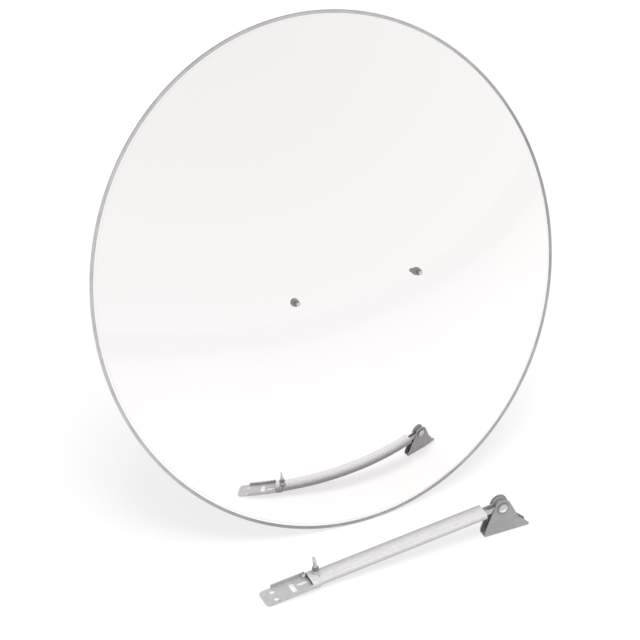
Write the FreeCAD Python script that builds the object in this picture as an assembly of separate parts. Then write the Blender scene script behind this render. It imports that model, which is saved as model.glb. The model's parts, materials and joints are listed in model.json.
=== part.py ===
import FreeCAD
import Part
import math
import os

# Reflector kit: an oval mirror-polished dish standing on its rim and leaning back,
# with its feed arm lying in front of it. Millimetres, +X across, +Y back, +Z up.
# The origin is the middle of the two studs that a mast bracket bolts to.

# --- reflector -------------------------------------------------------------
DISH_W = 800.0              # across the oval
DISH_H = 842.0              # up the oval
DISH_DEPTH = 111.0          # rim plane to the crown of the dome
SHEET = 1.5                 # aluminium sheet
BEAD_R = 3.0                # rolled hoop around the edge
LEAN = 19.5                 # degrees back from upright
STUD_SPACING = 212.0
RIM_BACK = 118.0            # rim plane behind the origin, along the dish axis

# --- studs through the reflector --------------------------------------------
STUD_R = 3.0                # M6, free end that a bracket goes over
NECK_R = 2.95               # the stretch inside the nut and the washers
STUD_HOLE_R = 3.3
STUD_END = 1.0              # thread end in front of the origin
HEAD_R = 7.0
HEAD_H = 3.2                # height of the domed part
HEAD_EDGE = 1.1             # straight edge under it
SEAL_R = 6.5
SEAL_T = 1.0                # rubber thickness at the thin side
WASHER_R = 6.2
WASHER_T = 1.2
NUT_AF = 10.0
NUT_H = 5.0

# --- feed arm ----------------------------------------------------------------
ARM_GAP = 115.0             # arm centreline in front of the dish's foot
TUBE_W = 30.0
TUBE_H = 12.0
TUBE_T = 1.5
TUBE_R = 4.0                # outside radius of its long edges
TUBE_X0 = -155.0            # along the arm, from the middle
TUBE_X1 = 157.0
TUBE_LENGTHS = 4            # touching solids that make up its length
COLLAR_LEN = 13.0
COLLAR_T = 1.8
BUSH_LEN = 22.0
SHANK_W = 24.0              # tongue inside the tube
SHANK_END = -78.0
SLIP = 0.2                  # sliding clearance on each side
TONGUE_T = 2.0
TONGUE_Z = -1.5             # middle of the tongue's sheet, under the tube's axis
TONGUE_TIP = -238.0
TIP_R = 8.0                 # its rounded corners
TRAY_W = 38.0
TRAY_WALL = 6.0             # height of the upturned sides, over the tube's axis
TRAY_START = -216.0
TRAY_END = -156.5
CLAMP_X = -142.0            # clamp screw, just inside the tube's end
CLAMP_Y = 3.0
CLAMP_R = 3.0               # M6
CLAMP_HOLE_R = 3.5
RUN = 0.05                  # running clearance on a shaft's radius
CLAMP_TOP = 40.0
BOSS_R = 6.0
BOSS_H = 7.0
CLAMP_WASHER_R = 6.5
CLAMP_WASHER_T = 1.2
CLAMP_NUT_AF = 10.0
CLAMP_NUT_H = 4.0
SPADE = (3.0, 11.0, 13.0)   # thickness, width and height of the thumb screw's head
SPADE_R = 3.0
SPADE_ROOT = 3.0            # length of the shank inside the spade
GAP = 0.2                   # left between stacked or turning faces
SLOT_OUT = 48.0             # tongue travel outwards
GUIDE_W = 5.0               # long slot in the hidden shank
FEED_HOLE_X = -218.0        # pair of holes at the tongue's tip
FEED_HOLES = 18.0
FEED_HOLE_R = 4.5
STOP_X = -160.2             # stop screw beside the tube's mouth
STOP_Y = 12.0
STOP_R = 2.0
STOP_HEAD_R = 3.6
STOP_HEAD_H = 6.0
STOP_NUT_AF = 7.0
STOP_NUT_H = 3.2
CROSS_SLOT = (-185.0, 0.0, 24.0, 9.0)   # x, y, length, width
SHORT_SLOT = (-168.0, 3.0, 18.0, 8.0)
RIVET_R = 2.4
RIVET_HEAD_R = 4.4
RIVET_HEAD_H = 1.6
RIVET_PLACES = (145.0, 123.0)

# --- foot of the arm ---------------------------------------------------------
PIVOT_X = 189.0
PIVOT_BORE_R = 7.0          # open bore through the hollow rivet
PIVOT_R = 8.5
FLARE_R = 10.3              # the hollow rivet's two flared ends
FLARE_T = 1.4
PIVOT_WASHER_R = 11.5
EAR_R = 15.0
EAR_T = 2.0
FOOT_W = 18.0               # outside of the two ears
FITTING_W = 13.0
FITTING_H = 8.0
FITTING_IN = 45.0           # length held in the tube
FITTING_R = 12.5
FITTING_FLOOR = 8.0         # length of its floor outside the tube
FOOT_BACK = 31.0            # floor edge behind and ahead of the pivot
FOOT_TOE = 50.0
FOLD_R = 1.8                # outside of the folds
HEEL_H = 8.0                # straight edge at the back of an ear
TOE_H = 5.0                 # and at the front
TOE_LEDGE = (31.0, 22.0)    # where the toe's slope starts: ahead of the pivot, over the floor

lean = math.radians(LEAN)
# the dish stands on its rim: height of the origin over the floor
FLOOR_Z = -(RIM_BACK * math.sin(lean) + (DISH_H / 2 + BEAD_R) * math.cos(lean))
CONTACT_Y = RIM_BACK * math.cos(lean) - DISH_H / 2 * math.sin(lean)
# the arm lies on the tip of its tongue and on its foot
ARM_TILT = math.radians(6.5)
ARM_Y = CONTACT_Y - ARM_GAP
ARM_Z = FLOOR_Z - TONGUE_TIP * math.sin(ARM_TILT) + (TONGUE_T / 2 - TONGUE_Z) * math.cos(ARM_TILT)
PIVOT_HEIGHT = ARM_Z + PIVOT_X * math.sin(ARM_TILT) - FLOOR_Z

X = FreeCAD.Vector(1, 0, 0)
Y = FreeCAD.Vector(0, 1, 0)
Z = FreeCAD.Vector(0, 0, 1)


def vec(x, y, z):
    return FreeCAD.Vector(x, y, z)


def box(x, y, z):
    """A box given by its low and high value along each axis."""
    return Part.makeBox(x[1] - x[0], y[1] - y[0], z[1] - z[0], vec(x[0], y[0], z[0]))


def rod(radius, start, length, axis):
    return Part.makeCylinder(radius, length, start, axis)


def ring(outer, inner, start, length, axis):
    return rod(outer, start, length, axis).cut(rod(inner, start, length, axis))


def hexagon(across_flats, start, height, axis):
    """A hexagonal prism on any of the three axes."""
    turn = FreeCAD.Rotation(Z, axis)
    corner = across_flats / math.sqrt(3)
    angles = [math.radians(60 * i) for i in range(7)]
    points = [start + turn.multVec(vec(corner * math.cos(a), corner * math.sin(a), 0)) for a in angles]
    return Part.Face(Part.makePolygon(points)).extrude(axis * height)


def group(shapes):
    return Part.makeCompound(shapes)


def runs_along(edge, axis):
    ends = [vertex.Point for vertex in edge.Vertexes]
    return len(ends) == 2 and (ends[1] - ends[0]).cross(axis).Length < 1e-6


# --- placing -------------------------------------------------------------------
def lean_back(shape):
    """Dish parts are drawn upright around the origin, then leant back."""
    out = shape.copy()
    out.rotate(vec(0, 0, 0), X, -LEAN)
    return out


def lay_down(shape):
    """Arm parts are drawn along X around the tube's centre, then laid on the floor."""
    out = shape.copy()
    out.rotate(vec(0, 0, 0), Y, -math.degrees(ARM_TILT))
    out.translate(vec(0, ARM_Y, ARM_Z))
    return out


def pivot_point():
    return vec(PIVOT_X * math.cos(ARM_TILT), ARM_Y, FLOOR_Z + PIVOT_HEIGHT)


# --- reflector -----------------------------------------------------------------
def dome_curve(crown_y):
    """Half of a parabola, from the crown on the axis to the rim; y is depth."""
    radius = DISH_W / 2
    curve = Part.BezierCurve()
    curve.setPoles([vec(0, crown_y, 0), vec(radius / 2, crown_y, 0), vec(radius, crown_y + DISH_DEPTH, 0)])
    return curve.toShape()


def stretch_tall(shape):
    """Turn a round dish into the oval one."""
    matrix = FreeCAD.Matrix()
    matrix.scale(1, 1, DISH_H / DISH_W)
    return shape.transformGeometry(matrix)


def sectors(section):
    """A section swept round the dish's axis as four touching solids: top, bottom, left and right."""
    solids = []
    for turn in (45, 135, 225, 315):
        start = section.copy()
        start.rotate(vec(0, 0, 0), Y, turn)
        solids.append(start.revolve(vec(0, 0, 0), Y, 90))
    return solids


def dome_sectors(front_y, back_y):
    """The round shell between two equal parabolas."""
    radius = DISH_W / 2
    front = dome_curve(front_y)
    back = dome_curve(back_y)
    edge = Part.makeLine(vec(radius, front_y + DISH_DEPTH, 0), vec(radius, back_y + DISH_DEPTH, 0))
    axis = Part.makeLine(vec(0, back_y, 0), vec(0, front_y, 0))
    wire = Part.Wire(Part.__sortEdges__([front, edge, back, axis]))
    return sectors(Part.Face(wire))


def crown_y():
    return RIM_BACK - DISH_DEPTH


def surface_y(x):
    """Front surface of the dome on its horizontal centreline."""
    return RIM_BACK - DISH_DEPTH * (1 - (x / (DISH_W / 2)) ** 2)


def stud_places():
    return [-STUD_SPACING / 2, STUD_SPACING / 2]


def reflector_shell(round_sectors):
    holes = [rod(STUD_HOLE_R, vec(x, 0, 0), RIM_BACK, Y) for x in stud_places()]
    return lean_back(group([stretch_tall(sector).cut(holes) for sector in round_sectors]))


def rim_bead(round_sectors):
    """A hoop rolled over the sheet's edge."""
    centre = vec(DISH_W / 2, RIM_BACK + SHEET / 2, 0)
    section = Part.Face(Part.Wire(Part.makeCircle(BEAD_R, centre, Z)))
    pairs = zip(sectors(section), round_sectors)
    return lean_back(group([stretch_tall(hoop.cut(sheet)) for hoop, sheet in pairs]))


def seal_front(x):
    """Face of the front seal, square to the stud."""
    return surface_y(abs(x) - SEAL_R) - SEAL_T


def nut_front(x):
    return seal_front(x) - WASHER_T - NUT_H


def seal_back(x):
    """Face of the back seal, square to the stud."""
    return surface_y(abs(x) + SEAL_R) + SHEET + SEAL_T


def front_seals(shell):
    """Rubber wedges between the domed sheet and the flat washers."""
    seals = []
    for x in stud_places():
        start = seal_front(x)
        blank = ring(SEAL_R, NECK_R, vec(x, start, 0), surface_y(x) - start, Y)
        seals.append(front_part(blank.cut(shell)))
    return lean_back(group(seals))


def back_seals(shell):
    """Rubber wedges under the bolt heads, on the hollow side."""
    seals = []
    for x in stud_places():
        start = surface_y(x) + SHEET / 2
        blank = ring(SEAL_R, NECK_R, vec(x, start, 0), seal_back(x) - start, Y)
        seals.append(back_part(blank.cut(shell)))
    return lean_back(group(seals))


def front_part(shape):
    return min(shape.Solids, key=lambda solid: solid.CenterOfMass.y)


def back_part(shape):
    return max(shape.Solids, key=lambda solid: solid.CenterOfMass.y)


def reflector_bolts():
    """Round-headed bolts, heads in the hollow, threads out of the crown side."""
    bolts = []
    for x in stud_places():
        seat = seal_back(x)
        free = rod(STUD_R, vec(x, -STUD_END, 0), STUD_END + nut_front(x), Y)
        shank = rod(NECK_R, vec(x, nut_front(x), 0), seat - nut_front(x), Y)
        flat = rod(HEAD_R, vec(x, seat, 0), HEAD_EDGE, Y)
        ball_r = (HEAD_R ** 2 + HEAD_H ** 2) / (2 * HEAD_H)
        ball = Part.makeSphere(ball_r, vec(x, seat + HEAD_EDGE + HEAD_H - ball_r, 0))
        cap = rod(HEAD_R, vec(x, seat, 0), HEAD_H * 2, Y).common(ball)
        bolts.append(free.fuse([shank, flat, cap]).removeSplitter())
    return lean_back(group(bolts))


def reflector_washers():
    rings = [ring(WASHER_R, NECK_R, vec(x, seal_front(x) - WASHER_T, 0), WASHER_T, Y) for x in stud_places()]
    return lean_back(group(rings))


def reflector_nuts():
    nuts = []
    for x in stud_places():
        top = nut_front(x)
        nut = hexagon(NUT_AF, vec(x, top, 0), NUT_H, Y)
        nuts.append(nut.cut(rod(NECK_R, vec(x, top, 0), NUT_H, Y)))
    return lean_back(group(nuts))


# --- feed arm -------------------------------------------------------------------
def rounded_bar(x, width, height, radius):
    """A bar along X with rounded long edges."""
    bar = box(x, (-width / 2, width / 2), (-height / 2, height / 2))
    long_edges = [e for e in bar.Edges if runs_along(e, X)]
    return bar.makeFillet(radius, long_edges)


def sleeve(x, width, height, wall, radius):
    """A rounded rectangular tube; width and height are outside sizes."""
    outer = rounded_bar(x, width, height, radius)
    bore = rounded_bar((x[0] - 1, x[1] + 1), width - 2 * wall, height - 2 * wall, radius - wall)
    return outer.cut(bore)


def clamp_hole():
    return rod(CLAMP_HOLE_R, vec(CLAMP_X, CLAMP_Y, TONGUE_Z), TUBE_H, Z)


def arm_tube():
    """The rectangular tube, as a row of touching lengths."""
    holes = [rod(RIVET_R, vec(x, 0, -TUBE_H), TUBE_H, Z) for x in RIVET_PLACES]
    step = (TUBE_X1 - TUBE_X0) / TUBE_LENGTHS
    starts = [TUBE_X0 + step * i for i in range(TUBE_LENGTHS)]
    lengths = [sleeve((x, x + step), TUBE_W, TUBE_H, TUBE_T, TUBE_R) for x in starts]
    return lay_down(group([length.cut([clamp_hole(), *holes]) for length in lengths]))


def tube_collar():
    """A band pressed over the tube's end, where the clamp screw pulls."""
    width = TUBE_W + 2 * COLLAR_T
    height = TUBE_H + 2 * COLLAR_T
    x0 = TUBE_X0 - 1
    band = sleeve((x0, x0 + COLLAR_LEN), width, height, COLLAR_T, TUBE_R + COLLAR_T)
    return lay_down(band.cut(clamp_hole()))


def tube_bush():
    """A nylon guide in the tube's mouth with a slit for the tongue."""
    x = (TUBE_X0, TUBE_X0 + BUSH_LEN)
    block = rounded_bar(x, TUBE_W - 2 * TUBE_T, TUBE_H - 2 * TUBE_T, TUBE_R - TUBE_T)
    half = TONGUE_T / 2 + SLIP
    heights = (TONGUE_Z - half, TONGUE_Z + half)
    slit = box((x[0] - 1, x[1] + 1), (-SHANK_W / 2 - SLIP, SHANK_W / 2 + SLIP), heights)
    return lay_down(block.cut([slit, clamp_hole()]))


def collar_top():
    return TUBE_H / 2 + COLLAR_T


def clamp_boss():
    """A round nut welded on the collar, threaded for the clamp screw."""
    start = vec(CLAMP_X, CLAMP_Y, collar_top())
    return lay_down(ring(BOSS_R, CLAMP_R + RUN, start, BOSS_H, Z))


def clamp_washer():
    start = vec(CLAMP_X, CLAMP_Y, collar_top() + BOSS_H)
    return lay_down(ring(CLAMP_WASHER_R, CLAMP_R + 1.5 * GAP, start, CLAMP_WASHER_T, Z))


def clamp_nut():
    """Lock nut, turned down on the screw against the washer."""
    start = vec(CLAMP_X, CLAMP_Y, collar_top() + BOSS_H + CLAMP_WASHER_T + GAP)
    nut = hexagon(CLAMP_NUT_AF, start, CLAMP_NUT_H, Z)
    return lay_down(nut.cut(rod(CLAMP_R, start, CLAMP_NUT_H, Z)))


def clamp_screw():
    """A thumb screw: a round shank with a flattened spade head."""
    tip = TONGUE_Z + TONGUE_T / 2 + SLIP
    thick, width, height = SPADE
    root = CLAMP_TOP - height
    shank = rod(CLAMP_R, vec(CLAMP_X, CLAMP_Y, tip), root + SPADE_ROOT - tip, Z)
    across = (CLAMP_Y - width / 2, CLAMP_Y + width / 2)
    spade = box((CLAMP_X - thick / 2, CLAMP_X + thick / 2), across, (root, CLAMP_TOP))
    corners = [e for e in spade.Edges if runs_along(e, X)]
    return lay_down(shank.fuse(spade.makeFillet(SPADE_R, corners)).removeSplitter())


# --- sliding tongue --------------------------------------------------------------
def slot_cut(x, y, length, width, along):
    """A round-ended slot through the tongue; along is X or Y."""
    half = length / 2 - width / 2
    base = vec(x, y, -TUBE_H / 2)
    ends = [rod(width / 2, base + along * offset, TUBE_H, Z) for offset in (-half, half)]
    across = (half, width / 2) if along == X else (width / 2, half)
    middle = box((x - across[0], x + across[0]), (y - across[1], y + across[1]), (base.z, -base.z))
    return middle.fuse(ends)


def feed_tongue():
    sheet = (TONGUE_Z - TONGUE_T / 2, TONGUE_Z + TONGUE_T / 2)
    floor = box((TONGUE_TIP, TRAY_END), (-TRAY_W / 2, TRAY_W / 2), sheet)
    walls = [
        box((TRAY_START, TRAY_END), (side, side + TONGUE_T), (sheet[0], TRAY_WALL))
        for side in (-TRAY_W / 2, TRAY_W / 2 - TONGUE_T)
    ]
    shank = box((TRAY_END - 1, SHANK_END), (-SHANK_W / 2, SHANK_W / 2), sheet)
    plate = floor.fuse(walls).fuse(shank).removeSplitter()
    corners = [e for e in plate.Edges if runs_along(e, Z) and abs(e.CenterOfMass.x - TONGUE_TIP) < 0.1]
    plate = plate.makeFillet(TIP_R, corners)
    for y in (-FEED_HOLES / 2, FEED_HOLES / 2):
        plate = plate.cut(rod(FEED_HOLE_R, vec(FEED_HOLE_X, y, -TUBE_H), 2 * TUBE_H, Z))
    plate = plate.cut(slot_cut(*CROSS_SLOT, Y))
    plate = plate.cut(slot_cut(*SHORT_SLOT, X))
    low = CLAMP_X - CLAMP_R
    high = CLAMP_X + SLOT_OUT + CLAMP_R
    plate = plate.cut(slot_cut((low + high) / 2, CLAMP_Y, high - low, GUIDE_W, X))
    plate = plate.cut(rod(STOP_R, vec(STOP_X, STOP_Y, -TUBE_H), 2 * TUBE_H, Z))
    return lay_down(plate)


def stop_screw():
    """A small pan-head screw whose head meets the collar when the tongue is in."""
    top = TONGUE_Z + TONGUE_T / 2
    length = TONGUE_T + STOP_NUT_H + 2 * GAP
    shank = rod(STOP_R, vec(STOP_X, STOP_Y, top - length), length, Z)
    head = rod(STOP_HEAD_R, vec(STOP_X, STOP_Y, top), STOP_HEAD_H, Z)
    head = head.makeFillet(STOP_HEAD_R / 3, [head.Edges[0]])
    return lay_down(shank.fuse(head).removeSplitter())


def stop_nut():
    under = TONGUE_Z - TONGUE_T / 2
    nut = hexagon(STOP_NUT_AF, vec(STOP_X, STOP_Y, under - STOP_NUT_H), STOP_NUT_H, Z)
    return lay_down(nut.cut(rod(STOP_R, vec(STOP_X, STOP_Y, -TUBE_H), TUBE_H, Z)))


# --- foot ------------------------------------------------------------------------
def end_fitting():
    """A channel riveted in the tube's end; its rounded sides carry the pivot."""
    x0 = TUBE_X1 - FITTING_IN
    side_y = FITTING_W / 2
    bar = box((x0, PIVOT_X), (-side_y, side_y), (-FITTING_H / 2, FITTING_H / 2))
    bar = bar.fuse(rod(FITTING_R, vec(PIVOT_X, -side_y, 0), FITTING_W, Y))
    inner = side_y - EAR_T
    end = PIVOT_X + 2 * FITTING_R
    reach = 2 * FITTING_R
    hollow = box((x0 - 1, end), (-inner, inner), (EAR_T - FITTING_H / 2, reach))
    mouth = box((TUBE_X1 + FITTING_FLOOR, end), (-inner, inner), (-reach, reach))
    channel = bar.cut([hollow, mouth])
    channel = channel.cut(rod(PIVOT_R, vec(PIVOT_X, -reach, 0), 2 * reach, Y))
    for x in RIVET_PLACES:
        channel = channel.cut(rod(RIVET_R, vec(x, 0, -FITTING_H), FITTING_H, Z))
    return lay_down(channel)


def end_rivets():
    """Blind rivets up through the tube's underside into the channel."""
    rivets = []
    for x in RIVET_PLACES:
        length = (TUBE_H - FITTING_H) / 2 + EAR_T + 1
        shank = rod(RIVET_R, vec(x, 0, -TUBE_H / 2), length, Z)
        head = rod(RIVET_HEAD_R, vec(x, 0, -TUBE_H / 2 - RIVET_HEAD_H), RIVET_HEAD_H, Z)
        low_edge = min(head.Edges, key=lambda edge: edge.BoundBox.ZMax)
        rivets.append(shank.fuse(head.makeFillet(RIVET_HEAD_H / 2, [low_edge])).removeSplitter())
    return lay_down(group(rivets))


def pivot_rivet():
    """A hollow rivet through both ears, flared over them on the outside."""
    half = FOOT_W / 2 + 1.5 * GAP
    centre = pivot_point()
    tube = rod(PIVOT_R - RUN, centre - Y * half, 2 * half, Y)
    flares = [rod(FLARE_R, centre + Y * start, FLARE_T, Y) for start in (-half - FLARE_T, half)]
    bore = rod(PIVOT_BORE_R, centre - Y * FOOT_W, 2 * FOOT_W, Y)
    return tube.fuse(flares).cut(bore).removeSplitter()


def pivot_washers():
    """Thin washers between the channel's sides and the ears."""
    thick = FOOT_W / 2 - EAR_T - FITTING_W / 2 - GAP
    starts = [FITTING_W / 2 + GAP / 2, -FITTING_W / 2 - GAP / 2 - thick]
    centre = pivot_point()
    return group([ring(PIVOT_WASHER_R, PIVOT_R, centre + Y * start, thick, Y) for start in starts])


def ear_outline(y):
    """A side of the foot: straight along the sole, rounded over the pivot."""
    floor = -PIVOT_HEIGHT
    low = floor + EAR_T
    ledge = (TOE_LEDGE[0], floor + TOE_LEDGE[1])
    left = tangent_from(-FOOT_BACK, floor + HEEL_H, EAR_R, 1)
    right = tangent_from(*ledge, EAR_R, -1)
    points = [(-FOOT_BACK, low), (-FOOT_BACK, floor + HEEL_H), left]
    back = [right, ledge, (FOOT_TOE, floor + TOE_H), (FOOT_TOE, low)]
    centre = pivot_point() + Y * y

    def place(p):
        return centre + vec(p[0], 0, p[1])

    edges = [Part.makeLine(place(a), place(b)) for a, b in zip(points, points[1:])]
    arc = Part.Arc(place(left), place((0, EAR_R)), place(right))
    edges.append(arc.toShape())
    edges += [Part.makeLine(place(a), place(b)) for a, b in zip(back, back[1:])]
    edges.append(Part.makeLine(place(back[-1]), place(points[0])))
    return Part.Face(Part.Wire(edges))


def tangent_from(x, z, radius, side):
    """Where a line from (x, z) touches the circle round the pivot."""
    reach = math.hypot(x, z)
    angle = math.atan2(z, x) - side * math.acos(radius / reach)
    return radius * math.cos(angle), radius * math.sin(angle)


def foot_ears():
    """The two sides of the folded foot, pivoting on the hollow rivet."""
    half = FOOT_W / 2
    hole = rod(PIVOT_R, pivot_point() - Y * FOOT_W, 2 * FOOT_W, Y)
    faces = [ear_outline(y) for y in (-half, half - EAR_T)]
    return group([face.extrude(Y * EAR_T).cut(hole) for face in faces])


def foot_sole():
    """The floor of the folded foot, rounded along its two folds."""
    centre = pivot_point()
    x = (centre.x - FOOT_BACK, centre.x + FOOT_TOE)
    sole = box(x, (centre.y - FOOT_W / 2, centre.y + FOOT_W / 2), (FLOOR_Z, FLOOR_Z + EAR_T))
    outside = [e for e in sole.Edges if runs_along(e, X) and e.BoundBox.ZMax < FLOOR_Z + EAR_T / 2]
    return sole.makeFillet(FOLD_R, outside)


def save(node, shape):
    shape.exportStep("parts/" + node + ".step")


def main():
    os.makedirs("parts", exist_ok=True)
    round_sectors = dome_sectors(crown_y(), crown_y() + SHEET)
    oval_shell = stretch_tall(group(round_sectors))
    parts = {
        "reflector_shell": reflector_shell(round_sectors),
        "rim_bead": rim_bead(round_sectors),
        "reflector_bolts": reflector_bolts(),
        "front_seals": front_seals(oval_shell),
        "back_seals": back_seals(oval_shell),
        "reflector_washers": reflector_washers(),
        "reflector_nuts": reflector_nuts(),
        "arm_tube": arm_tube(),
        "tube_collar": tube_collar(),
        "tube_bush": tube_bush(),
        "clamp_boss": clamp_boss(),
        "clamp_washer": clamp_washer(),
        "clamp_nut": clamp_nut(),
        "clamp_screw": clamp_screw(),
        "feed_tongue": feed_tongue(),
        "stop_screw": stop_screw(),
        "stop_nut": stop_nut(),
        "end_fitting": end_fitting(),
        "end_rivets": end_rivets(),
        "pivot_rivet": pivot_rivet(),
        "pivot_washers": pivot_washers(),
        "foot_ears": foot_ears(),
        "foot_sole": foot_sole(),
    }
    for node, shape in parts.items():
        save(node, shape)


main()
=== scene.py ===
import bpy
import bmesh
import json
import math
import random
from mathutils import Matrix, Vector


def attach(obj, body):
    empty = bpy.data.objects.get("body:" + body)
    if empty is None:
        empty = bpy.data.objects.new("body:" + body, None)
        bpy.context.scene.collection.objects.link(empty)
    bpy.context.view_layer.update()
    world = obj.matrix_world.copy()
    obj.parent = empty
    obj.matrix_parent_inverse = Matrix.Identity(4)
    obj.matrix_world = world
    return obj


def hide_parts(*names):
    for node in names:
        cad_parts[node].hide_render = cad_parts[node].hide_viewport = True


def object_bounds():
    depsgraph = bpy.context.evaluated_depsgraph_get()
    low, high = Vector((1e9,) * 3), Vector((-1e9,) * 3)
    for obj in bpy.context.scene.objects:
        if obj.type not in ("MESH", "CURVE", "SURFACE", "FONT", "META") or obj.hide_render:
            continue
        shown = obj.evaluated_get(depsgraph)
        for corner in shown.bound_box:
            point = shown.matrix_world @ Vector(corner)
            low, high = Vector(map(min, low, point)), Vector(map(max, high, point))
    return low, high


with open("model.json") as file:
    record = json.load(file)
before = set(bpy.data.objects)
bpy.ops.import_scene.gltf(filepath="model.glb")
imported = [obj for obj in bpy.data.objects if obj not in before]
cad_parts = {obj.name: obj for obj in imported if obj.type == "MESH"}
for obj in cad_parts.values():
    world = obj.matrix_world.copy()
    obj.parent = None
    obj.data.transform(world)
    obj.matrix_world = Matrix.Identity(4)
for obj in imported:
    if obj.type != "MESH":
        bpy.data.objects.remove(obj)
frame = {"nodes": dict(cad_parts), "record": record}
cad_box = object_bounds()

# --- the object's own geometry, in metres, row frame --------------------------
LEAN = math.radians(19.5)           # the dish leans back by this
HALF_W = 0.400                      # oval half width, to the middle of the bead
HALF_H = 0.421                      # oval half height
DEPTH = 0.111                       # rim plane to crown
RIM_BACK = 0.118                    # rim plane behind the origin, along the dish axis
SHEET = 0.0015
STUD_X = 0.106
STUD_R = 0.003
ARM_TILT = math.radians(6.5)
ARM_Y = -0.14430
ARM_Z = -0.40964                    # middle of the tube, over the origin of its own frame
TUBE_TOP = 0.006
COLLAR_TOP = 0.0078
CLAMP_X, CLAMP_Y = -0.142, 0.003
CLAMP_R = 0.003
RIVET_EDGE = 0.0074                 # where the hollow rivet's bore, bright with a painted highlight, ends and its flare, dark with painted shade, begins
PIVOT_ALONG = 0.189 + ARM_Z * math.sin(ARM_TILT)    # the foot's pivot, along the arm
FLOOR_Z = cad_box[0].z

# --- camera: the viewing angle, and a lens for the 640 pixel frame ---------------
CAMERA_AT = Vector((-1.4595, -2.9776, 2.1787))
CAMERA_AZIMUTH = math.radians(25.03)
CAMERA_DOWN = math.radians(34.02)
CAMERA_LENS = 143.07
SENSOR = 36.0

# --- added detail, in metres --------------------------------------------------------
RIM_POINTS = 360
TUBE_SIDE = Vector((0, 0.36, 0.93))     # sets a tube's sides; no path runs exactly along it
HEM_R = 0.0008
HEM_INSET = 0.0062                  # from the middle of the bead to the pressed ridge
SEAM_TOL = 1e-4                     # how near a face lies to a seam of the sheet, over the half size
MERGE_DISTANCE = 1e-6
SMOOTH_SIDES = 8                    # sides of a thin ridge or weld line
THREAD_STEPS = 24                   # corners in one turn of a thread
THREAD_PITCH = 0.001
THREAD_FOOT = 0.42                  # half a thread's foot, over its pitch
THREAD_CREST = 0.07                 # half a thread's crest, over its pitch
THREAD_SUNK = 0.3                   # how far a thread's foot lies in the shank, over its depth
THREAD_LEAST = 0.02                 # what is left of the crest at a thread's ends
STUD_THREAD = (-0.0002, 0.0064)     # from and to, along the dish's axis
STUD_THREAD_DEPTH = 0.00022
CLAMP_THREAD = (0.0204, 0.0268)     # from and to, square to the arm
CLAMP_THREAD_DEPTH = 0.00025
SEAM_X0, SEAM_STEP, SEAM_POINTS = -0.138, 0.0015, 165
SEAM_Y = 0.0045
SEAM_R, SEAM_LUMP = 0.00045, 0.00008
WELD_POINTS = 120
WELD_RING = 0.0062                  # radius of the weld's ring round the boss
WELD_R, WELD_WAVE, WELD_LUMP = 0.0009, 0.0002, 0.00008
WELD_WAVES = 9
WELD_SIDES = 10

# --- tones and light ----------------------------------------------------------------
ARM_SHADE_SPAN = 0.016                # half the width that the arm's painted shade ramps cover, in metres
# painted shade on the arm: across it, darker towards the far edge with a lighter band on the near half; up
# it, darker towards the underside
ARM_ACROSS_SHADE = [(0.0, 0.90), (0.32, 1.0), (0.60, 0.86), (0.82, 0.62), (1.0, 0.50)]
ARM_UP_SHADE = [(0.0, 0.52), (0.34, 0.62), (0.62, 0.96), (1.0, 1.0)]
# painted shade on the rolled edge, darker towards the lower right
RIM_SHADE_TONES = [(0.0, 1.0), (0.42, 0.92), (0.75, 0.60), (1.0, 0.80)]
RIM_SPAN = 0.6                      # half the width that the rim's painted shade ramp covers, in metres
FLOOR_HALF = 400.0
GLOW_NEAR, GLOW_FAR = 0.700, 0.622  # the floor's own light, near the object and far from it
GLOW_FROM, GLOW_TO = 0.8, 4.5       # distances between which it falls
WORLD_STRENGTH = 0.985
SUN_TOWARD, SUN_STRENGTH, SUN_SPREAD = (0.05, 0.34, -1.0), 2.1, 28.0


def in_dish(x, y, z):
    """A point in the dish's upright frame, leant back into the row frame."""
    c, s = math.cos(LEAN), math.sin(LEAN)
    return Vector((x, y * c + z * s, z * c - y * s))


def upright(point):
    """The inverse of in_dish: a row-frame point in the dish's upright frame."""
    c, s = math.cos(LEAN), math.sin(LEAN)
    return Vector((point.x, point.y * c - point.z * s, point.y * s + point.z * c))


def on_arm(x, y, z):
    """A point in the arm's own frame, laid down into the row frame."""
    c, s = math.cos(ARM_TILT), math.sin(ARM_TILT)
    return Vector((x * c - z * s, ARM_Y + y, ARM_Z + x * s + z * c))


def dome_y(x, z):
    """Depth of the dish's front surface, in its upright frame."""
    return RIM_BACK - DEPTH * (1 - (x / HALF_W) ** 2 - (z / HALF_H) ** 2)


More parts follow.
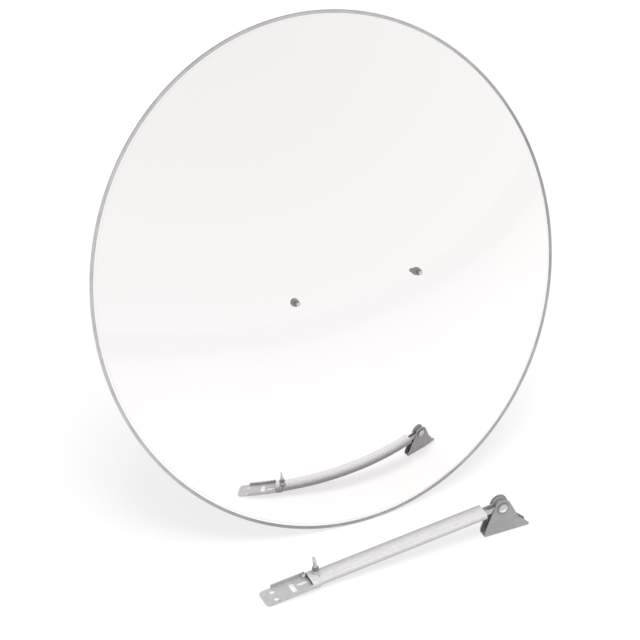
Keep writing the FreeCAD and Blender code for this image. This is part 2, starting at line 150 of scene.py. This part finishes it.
# --- node materials ---------------------------------------------------------------
class Graph:
    """Short ways to build a node material round one Principled shader."""

    def __init__(self, name):
        self.material = bpy.data.materials.new(name)
        self.material.use_nodes = True
        self.tree = self.material.node_tree
        self.bsdf = self.tree.nodes["Principled BSDF"]

    def add(self, kind, **settings):
        node = self.tree.nodes.new(kind)
        for key, value in settings.items():
            setattr(node, key, value)
        return node

    def put(self, socket, value):
        """Give a socket a number, a colour or another node's output."""
        if isinstance(value, bpy.types.NodeSocket):
            self.tree.links.new(value, socket)
        else:
            socket.default_value = value
        return socket

    def place(self, rotation=(0, 0, 0), scale=(1, 1, 1)):
        """Object coordinates, turned and stretched."""
        coords = self.add("ShaderNodeTexCoord")
        mapping = self.add("ShaderNodeMapping")
        self.put(mapping.inputs["Vector"], coords.outputs["Object"])
        mapping.inputs["Rotation"].default_value = rotation
        mapping.inputs["Scale"].default_value = scale
        return mapping.outputs["Vector"]

    def noise(self, vector, scale, detail=4.0, rough=0.55):
        node = self.add("ShaderNodeTexNoise")
        self.put(node.inputs["Vector"], vector)
        node.inputs["Scale"].default_value = scale
        node.inputs["Detail"].default_value = detail
        node.inputs["Roughness"].default_value = rough
        return node.outputs["Fac"]

    def line_noise(self, value, scale, detail=3.0):
        node = self.add("ShaderNodeTexNoise", noise_dimensions="1D")
        self.put(node.inputs["W"], value)
        node.inputs["Scale"].default_value = scale
        node.inputs["Detail"].default_value = detail
        return node.outputs["Fac"]

    def span(self, value, low, high, start=0.35, end=0.65):
        """Spread a noise value from start..end over low..high."""
        node = self.add("ShaderNodeMapRange")
        self.put(node.inputs["Value"], value)
        node.inputs["From Min"].default_value = start
        node.inputs["From Max"].default_value = end
        node.inputs["To Min"].default_value = low
        node.inputs["To Max"].default_value = high
        return node.outputs["Result"]

    def along_arm(self):
        """The arm's own axes: along it, across it and square to its top, in metres."""
        split = self.add("ShaderNodeSeparateXYZ")
        self.put(split.inputs["Vector"], self.place(rotation=(0, ARM_TILT, 0)))
        across = self.math("SUBTRACT", split.outputs["Y"], ARM_Y)
        up = self.math("SUBTRACT", split.outputs["Z"], ARM_Z * math.cos(ARM_TILT))
        return split.outputs["X"], across, up

    def shade(self, value, low, high, stops):
        """A grey ramp of value from low to high; stops are (place, grey)."""
        ramp = self.add("ShaderNodeValToRGB")
        self.put(ramp.inputs["Fac"], self.span(value, 0.0, 1.0, low, high))
        elements = ramp.color_ramp.elements
        while len(elements) < len(stops):
            elements.new(0.5)
        for element, (place, grey) in zip(elements, stops):
            element.position = place
            element.color = (grey, grey, grey, 1)
        return ramp.outputs["Color"]

    def times(self, a, b):
        node = self.add("ShaderNodeMix", data_type="RGBA", blend_type="MULTIPLY")
        node.inputs["Factor"].default_value = 1.0
        self.put(node.inputs["A"], a)
        self.put(node.inputs["B"], b)
        return node.outputs["Result"]

    def math(self, operation, a, b=0.0):
        node = self.add("ShaderNodeMath", operation=operation)
        self.put(node.inputs[0], a)
        self.put(node.inputs[1], b)
        return node.outputs["Value"]

    def mix(self, factor, a, b):
        node = self.add("ShaderNodeMix", data_type="RGBA")
        self.put(node.inputs["Factor"], factor)
        self.put(node.inputs["A"], a)
        self.put(node.inputs["B"], b)
        return node.outputs["Result"]

    def bump(self, height, distance, strength=1.0, normal=None):
        node = self.add("ShaderNodeBump")
        self.put(node.inputs["Height"], height)
        node.inputs["Distance"].default_value = distance
        node.inputs["Strength"].default_value = strength
        if normal is not None:
            self.put(node.inputs["Normal"], normal)
        return node.outputs["Normal"]

    def set(self, **values):
        names = {"color": "Base Color", "metallic": "Metallic", "roughness": "Roughness", "normal": "Normal",
                 "coat": "Coat Weight", "coat_roughness": "Coat Roughness", "specular": "Specular IOR Level"}
        for key, value in values.items():
            self.put(self.bsdf.inputs[names[key]], value)
        return self.material


def mirror_sheet():
    """Spun and polished aluminium: a clean mirror with the faintest rings and haze."""
    g = Graph("polished_sheet")
    parts = g.add("ShaderNodeSeparateXYZ")
    g.put(parts.inputs["Vector"], g.place(rotation=(LEAN, 0, 0)))
    across = g.math("POWER", parts.outputs["X"], 2.0)
    up = g.math("POWER", g.math("MULTIPLY", parts.outputs["Z"], HALF_W / HALF_H), 2.0)
    radius = g.math("SQRT", g.math("ADD", across, up))
    rings = g.line_noise(radius, 900.0, 4.0)
    haze = g.noise(g.place(), 7.0, 3.0)
    tint = g.noise(g.place(), 1.6, 2.0)
    color = g.mix(g.span(tint, 0.0, 1.0), (0.965, 0.957, 0.945, 1), (0.970, 0.950, 0.955, 1))
    rough = g.math("ADD", g.span(haze, 0.012, 0.035), g.span(rings, 0.0, 0.012))
    wave = g.bump(g.noise(g.place(), 5.0, 1.0), 0.0002, 0.25)
    spun = g.bump(rings, 0.000004, 0.35, wave)
    return g.set(color=color, metallic=1.0, roughness=rough, normal=spun)


def rolled_metal():
    """Satin aluminium of the rolled edge, with painted shade that darkens it towards the lower right."""
    g = Graph("rolled_edge")
    haze = g.noise(g.place(), 40.0, 5.0)
    color = g.mix(g.span(haze, 0.0, 1.0), (0.52, 0.51, 0.52, 1), (0.62, 0.61, 0.62, 1))
    # painted shade: the edge darkened towards the lower right
    split = g.add("ShaderNodeSeparateXYZ")
    g.put(split.inputs["Vector"], g.place())
    side = g.math("SUBTRACT", split.outputs["X"], split.outputs["Z"])
    color = g.times(color, g.shade(side, -RIM_SPAN, RIM_SPAN, RIM_SHADE_TONES))
    fine = g.noise(g.place(), 900.0, 2.0)
    return g.set(color=color, metallic=1.0, roughness=g.span(haze, 0.16, 0.30),
                 normal=g.bump(fine, 0.00003, 0.3))


def zinc(name, dark, light, rough, metal, spangle=120.0, across=None, up=None):
    """Zinc plate over drawn steel: long grain, cloudy spangle and, on the arm, painted shade that darkens it
    towards its far edge and its underside.
    """
    g = Graph(name)
    along = g.place(rotation=(0, ARM_TILT, 0), scale=(8.0, 160.0, 160.0))
    streak = g.noise(along, 6.0, 6.0, 0.6)
    cloud = g.noise(g.place(), spangle, 3.0)
    half_streak = g.math("MULTIPLY", g.span(streak, 0, 1), 0.5)
    half_cloud = g.math("MULTIPLY", g.span(cloud, 0, 1), 0.5)
    color = g.mix(g.math("ADD", half_streak, half_cloud), (*dark, 1), (*light, 1))
    if across and up:
        # painted shade: the arm's colour darkened across its width and towards its underside
        _, across_arm, up_arm = g.along_arm()
        color = g.times(color, g.shade(across_arm, -ARM_SHADE_SPAN, ARM_SHADE_SPAN, across))
        color = g.times(color, g.shade(up_arm, -ARM_SHADE_SPAN, ARM_SHADE_SPAN, up))
    roughness = g.span(cloud, rough[0], rough[1])
    normal = g.bump(streak, 0.00004, 0.35, g.bump(cloud, 0.00008, 0.2))
    return g.set(color=color, metallic=metal, roughness=roughness, normal=normal)


def bored_rivet():
    """The hollow rivet: a bore made bright by a painted highlight, in a flare made dark by painted shade."""
    g = Graph("bored_rivet")
    along, _, up = g.along_arm()
    reach = g.math("SUBTRACT", along, PIVOT_ALONG)
    square = g.math("ADD", g.math("POWER", reach, 2.0), g.math("POWER", up, 2.0))
    outside = g.math("GREATER_THAN", square, RIVET_EDGE ** 2)
    grain = g.noise(g.place(), 500.0, 3.0)
    # painted shade on the flare and a painted highlight in the bore, split by distance from the pivot
    flare = g.mix(g.span(grain, 0, 1), (0.20, 0.195, 0.20, 1), (0.28, 0.275, 0.28, 1))
    bore = g.mix(g.span(grain, 0, 1), (0.86, 0.86, 0.86, 1), (0.95, 0.95, 0.95, 1))
    return g.set(color=g.mix(outside, bore, flare), metallic=0.4, roughness=g.span(grain, 0.25, 0.4),
                 normal=g.bump(grain, 0.00004, 0.3))


def rubber():
    g = Graph("seal_rubber")
    grain = g.noise(g.place(), 700.0, 4.0)
    color = g.mix(g.span(grain, 0, 1), (0.11, 0.11, 0.11, 1), (0.17, 0.17, 0.172, 1))
    return g.set(color=color, roughness=g.span(grain, 0.55, 0.8), normal=g.bump(grain, 0.0001, 0.4))


def nylon():
    g = Graph("bush_nylon")
    grain = g.noise(g.place(), 420.0, 3.0)
    color = g.mix(g.span(grain, 0, 1), (0.025, 0.025, 0.027, 1), (0.06, 0.06, 0.063, 1))
    return g.set(color=color, roughness=g.span(grain, 0.4, 0.6), normal=g.bump(grain, 0.00005, 0.4))


def dress_nodes(materials):
    """Give each carried-over CAD node the material of its slot, or its own."""
    slot_of = {part["node"]: part["material_slot"] for part in frame["record"]["subparts"]}
    for name, obj in frame["nodes"].items():
        obj.data.materials.clear()
        obj.data.materials.append(materials[name if name in materials else slot_of[name]])


# --- added detail, built in mesh code ----------------------------------------------
def link_object(name, data):
    obj = bpy.data.objects.new(name, data)
    bpy.context.collection.objects.link(obj)
    return obj


def mesh_piece(name, verts, faces, body, slot, smooth=True):
    """A piece that rides on a body, in its slot's material."""
    mesh = bpy.data.meshes.new(name)
    mesh.from_pydata([tuple(v) for v in verts], [], faces)
    mesh.polygons.foreach_set("use_smooth", [smooth] * len(mesh.polygons))
    mesh.materials.append(MATERIALS[slot])
    obj = link_object(name, mesh)
    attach(obj, body)


def tube_along(path, radii, sides, closed):
    """Verts and faces of a tube of changing radius along a path of points."""
    count = len(path)
    verts, faces = [], []
    for i, point in enumerate(path):
        ahead = path[(i + 1) % count] if closed or i < count - 1 else point
        behind = path[i - 1] if closed or i > 0 else point
        tangent = (ahead - behind).normalized()
        side = tangent.cross(TUBE_SIDE).normalized()
        up = side.cross(tangent)
        for k in range(sides):
            angle = math.tau * k / sides
            verts.append(point + radii[i] * (math.cos(angle) * side + math.sin(angle) * up))
    rings = count if closed else count - 1
    for i in range(rings):
        low, high = i * sides, (i + 1) % count * sides
        for k in range(sides):
            n = (k + 1) % sides
            faces.append((low + k, low + n, high + n, high + k))
    if not closed:
        faces.append(tuple(range(sides))[::-1])
        faces.append(tuple((count - 1) * sides + k for k in range(sides)))
    return verts, faces


def screw_thread(name, start, end, radius, depth, body, slot):
    """A vee thread as a helical ridge, sunk into a plain shank and fading out at both ends."""
    length = (end - start).length
    axis = (end - start).normalized()
    side = axis.orthogonal().normalized()
    other = axis.cross(side)
    steps = int(length / THREAD_PITCH * THREAD_STEPS)
    verts, faces = [], []
    for i in range(steps + 1):
        angle = math.tau * i / THREAD_STEPS
        out = math.cos(angle) * side + math.sin(angle) * other
        middle = start + axis * (length * i / steps)
        fade = min(1.0, i / (THREAD_STEPS / 2), (steps - i) / (THREAD_STEPS / 2))
        crest = radius + depth * max(fade, THREAD_LEAST)
        foot = radius - THREAD_SUNK * depth
        outline = ((foot, -THREAD_FOOT), (crest, -THREAD_CREST), (crest, THREAD_CREST), (foot, THREAD_FOOT))
        verts += [middle + out * reach + axis * THREAD_PITCH * along for reach, along in outline]
    for i in range(steps):
        low, high = 4 * i, 4 * i + 4
        for k in range(4):
            n = (k + 1) % 4
            faces.append((low + k, low + n, high + n, high + k))
    faces.append((3, 2, 1, 0))
    faces.append(tuple(4 * steps + k for k in range(4)))
    mesh_piece(name, verts, faces, body, slot, smooth=False)


def sheet_depths(points):
    """How far upright points lie behind the dome's front surface."""
    return [p.y - dome_y(p.x, p.z) for p in points]


def spans_sheet(points):
    """True for a face across the sheet's thickness, such as a stud hole's wall."""
    depths = sheet_depths(points)
    return max(depths) - min(depths) > SHEET / 2


def dome_normal(p):
    """The dome's outward normal at an upright point."""
    return Vector((2 * DEPTH * p.x / HALF_W ** 2, -1, 2 * DEPTH * p.z / HALF_H ** 2)).normalized()


def merged_sheet(source, to_row):
    """The sheet's sectors joined into one mesh, without the walls between them."""
    bm = bmesh.new()
    bm.from_mesh(source.data)
    walls = []
    for face in bm.faces:
        points = [upright(to_row @ vert.co) for vert in face.verts]
        on_seam = all(abs(abs(p.x) / HALF_W - abs(p.z) / HALF_H) < SEAM_TOL for p in points)
        if on_seam and spans_sheet(points):
            walls.append(face)
    bmesh.ops.delete(bm, geom=walls, context="FACES")
    bmesh.ops.remove_doubles(bm, verts=bm.verts, dist=MERGE_DISTANCE)
    mesh = bpy.data.meshes.new("polished_skin")
    bm.to_mesh(mesh)
    bm.free()
    return mesh


def polished_skin():
    """The sheet as one skin with the exact normals of its surface, so that it mirrors without a seam."""
    source = frame["nodes"]["reflector_shell"]
    to_row = source.matrix_world
    to_node = to_row.to_3x3().inverted()
    mesh = merged_sheet(source, to_row)
    normals = []
    for poly in mesh.polygons:
        corners = [upright(to_row @ mesh.vertices[i].co) for i in poly.vertices]
        side = -1 if max(sheet_depths(corners)) > SHEET / 2 else 1
        for p in corners:
            exact = (to_node @ in_dish(*(side * dome_normal(p)))).normalized()
            normals.append(poly.normal.copy() if spans_sheet(corners) else exact)
    mesh.polygons.foreach_set("use_smooth", [True] * len(mesh.polygons))
    mesh.normals_split_custom_set(normals)
    mesh.materials.append(MATERIALS["mirror_sheet"])
    skin = link_object("polished_skin", mesh)
    skin.matrix_world = to_row
    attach(skin, "reflector")
    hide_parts("reflector_shell")


def hem_path(lift):
    """Points round the dish just inside its rolled edge, lifted off the dome's front surface."""
    points = []
    for i in range(RIM_POINTS):
        angle = math.tau * i / RIM_POINTS
        x = (HALF_W - HEM_INSET) * math.cos(angle)
        z = (HALF_H - HEM_INSET) * math.sin(angle)
        points.append(in_dish(x, dome_y(x, z) + lift, z))
    return points


def rim_creases():
    """The hem's pressed ridge just inside the rolled edge, on the front and on the back."""
    for name, lift in (("hem_front", 0.0), ("hem_back", SHEET)):
        verts, faces = tube_along(hem_path(lift), [HEM_R] * RIM_POINTS, SMOOTH_SIDES, True)
        mesh_piece(name, verts, faces, "reflector", "mirror_sheet")


def stud_threads():
    for name, x in (("stud_thread_left", -STUD_X), ("stud_thread_right", STUD_X)):
        start, end = (in_dish(x, y, 0) for y in STUD_THREAD)
        screw_thread(name, start, end, STUD_R, STUD_THREAD_DEPTH, "reflector", "fastener_dark")


def clamp_thread():
    start, end = (on_arm(CLAMP_X, CLAMP_Y, z) for z in CLAMP_THREAD)
    screw_thread("clamp_thread", start, end, CLAMP_R, CLAMP_THREAD_DEPTH, "clamp", "fastener_zinc")


def seam_weld():
    """The drawn tube's weld line, a little off the middle of its underside."""
    path = [on_arm(SEAM_X0 + i * SEAM_STEP, SEAM_Y, -TUBE_TOP) for i in range(SEAM_POINTS)]
    rng = random.Random(5)
    radii = [SEAM_R + rng.uniform(-SEAM_LUMP, SEAM_LUMP) for _ in path]
    verts, faces = tube_along(path, radii, SMOOTH_SIDES, False)
    mesh_piece("seam_weld", verts, faces, "arm", "arm_zinc")


def boss_weld():
    """A lumpy bead of weld round the boss on the collar."""
    rng = random.Random(11)
    path, radii = [], []
    for i in range(WELD_POINTS):
        angle = math.tau * i / WELD_POINTS
        x, y = CLAMP_X + WELD_RING * math.cos(angle), CLAMP_Y + WELD_RING * math.sin(angle)
        path.append(on_arm(x, y, COLLAR_TOP))
        radii.append(WELD_R + WELD_WAVE * math.sin(WELD_WAVES * angle) + rng.uniform(-WELD_LUMP, WELD_LUMP))
    verts, faces = tube_along(path, radii, WELD_SIDES, True)
    mesh_piece("boss_weld", verts, faces, "arm", "arm_zinc")


# --- stage --------------------------------------------------------------------------
def studio_floor():
    """A pale floor with a little light of its own, which fades with distance."""
    mesh = bpy.data.meshes.new("floor")
    corners = [(x * FLOOR_HALF, y * FLOOR_HALF, FLOOR_Z) for x, y in ((-1, -1), (1, -1), (1, 1), (-1, 1))]
    mesh.from_pydata(corners, [], [(0, 1, 2, 3)])
    floor = link_object("floor", mesh)
    g = Graph("pale_floor")
    cloud = g.noise(g.place(), 0.8, 2.0)
    color = g.mix(g.span(cloud, 0, 1), (0.238, 0.236, 0.238, 1), (0.246, 0.244, 0.246, 1))
    far = g.add("ShaderNodeVectorMath", operation="LENGTH")
    g.put(far.inputs[0], g.place())
    g.put(g.bsdf.inputs["Emission Color"], (1, 0.997, 0.996, 1))
    glow = g.span(far.outputs["Value"], GLOW_NEAR, GLOW_FAR, GLOW_FROM, GLOW_TO)
    g.put(g.bsdf.inputs["Emission Strength"], glow)
    mesh.materials.append(g.set(color=color, roughness=0.9, specular=0.0))


def studio_world():
    """A bright room: even at the horizon, a little dimmer overhead, dimmer still high up behind."""
    world = bpy.data.worlds.new("studio")
    bpy.context.scene.world = world
    world.use_nodes = True
    tree = world.node_tree
    background = tree.nodes["Background"]
    coords = tree.nodes.new("ShaderNodeTexCoord")
    split = tree.nodes.new("ShaderNodeSeparateXYZ")
    tree.links.new(coords.outputs["Generated"], split.inputs["Vector"])
    height = tree.nodes.new("ShaderNodeValToRGB")
    tree.links.new(split.outputs["Z"], height.inputs["Fac"])
    stops = height.color_ramp.elements
    stops[0].position, stops[0].color = 0.0, (1.0, 0.997, 0.995, 1)
    stops[1].position, stops[1].color = 0.85, (0.945, 0.928, 0.924, 1)

    def ramp(socket, low, high):
        node = tree.nodes.new("ShaderNodeMapRange")
        node.interpolation_type = "SMOOTHSTEP"
        tree.links.new(socket, node.inputs["Value"])
        node.inputs["From Min"].default_value = low
        node.inputs["From Max"].default_value = high
        return node.outputs["Result"]

    behind = tree.nodes.new("ShaderNodeMath")
    behind.operation = "MULTIPLY"
    tree.links.new(ramp(split.outputs["Y"], -0.1, 0.7), behind.inputs[0])
    tree.links.new(ramp(split.outputs["Z"], 0.0, 0.5), behind.inputs[1])
    mix = tree.nodes.new("ShaderNodeMix")
    mix.data_type = "RGBA"
    tree.links.new(behind.outputs["Value"], mix.inputs["Factor"])
    tree.links.new(height.outputs["Color"], mix.inputs["A"])
    mix.inputs["B"].default_value = (0.50, 0.51, 0.53, 1)
    tree.links.new(mix.outputs["Result"], background.inputs["Color"])
    background.inputs["Strength"].default_value = WORLD_STRENGTH


def overhead_light():
    """One wide, soft sun from above and a little in front, left out of the mirror."""
    light = bpy.data.lights.new("overhead", "SUN")
    light.energy = SUN_STRENGTH
    light.angle = math.radians(SUN_SPREAD)
    lamp = link_object("overhead", light)
    lamp.visible_glossy = False
    lamp.rotation_euler = Vector(SUN_TOWARD).to_track_quat("-Z", "Y").to_euler()


def make_camera():
    data = bpy.data.cameras.new("camera")
    data.lens = CAMERA_LENS
    data.sensor_width = SENSOR
    camera = link_object("camera", data)
    camera.location = CAMERA_AT
    forward = Vector((math.sin(CAMERA_AZIMUTH) * math.cos(CAMERA_DOWN),
                      math.cos(CAMERA_AZIMUTH) * math.cos(CAMERA_DOWN), -math.sin(CAMERA_DOWN)))
    camera.rotation_euler = forward.to_track_quat("-Z", "Y").to_euler()
    bpy.context.scene.camera = camera


FOOT_ZINC = zinc("foot_zinc", (0.28, 0.275, 0.28), (0.38, 0.375, 0.38), (0.36, 0.50), 0.5)

MATERIALS = {
    "mirror_sheet": mirror_sheet(),
    "rim_metal": rolled_metal(),
    "arm_zinc": zinc("arm_zinc", (0.63, 0.62, 0.63), (0.77, 0.76, 0.77), (0.42, 0.55), 0.35,
                     across=ARM_ACROSS_SHADE, up=ARM_UP_SHADE),
    "plate_zinc": zinc("plate_zinc", (0.44, 0.435, 0.445), (0.55, 0.545, 0.555), (0.36, 0.50), 0.45),
    "foot_ears": FOOT_ZINC,
    "foot_sole": FOOT_ZINC,
    "pivot_rivet": bored_rivet(),
    "fastener_zinc": zinc("fastener_zinc", (0.50, 0.50, 0.51), (0.66, 0.66, 0.67), (0.25, 0.40), 0.8,
                          spangle=400.0),
    "fastener_dark": zinc("fastener_dark", (0.20, 0.195, 0.20), (0.30, 0.295, 0.30), (0.28, 0.45), 0.7,
                          spangle=400.0),
    "seal_rubber": rubber(),
    "bush_nylon": nylon(),
}

dress_nodes(MATERIALS)
polished_skin()
rim_creases()
stud_threads()
clamp_thread()
boss_weld()
seam_weld()
studio_floor()
studio_world()
overhead_light()
make_camera()

scene = bpy.context.scene
scene.view_settings.view_transform = "Standard"
scene.view_settings.look = "None"
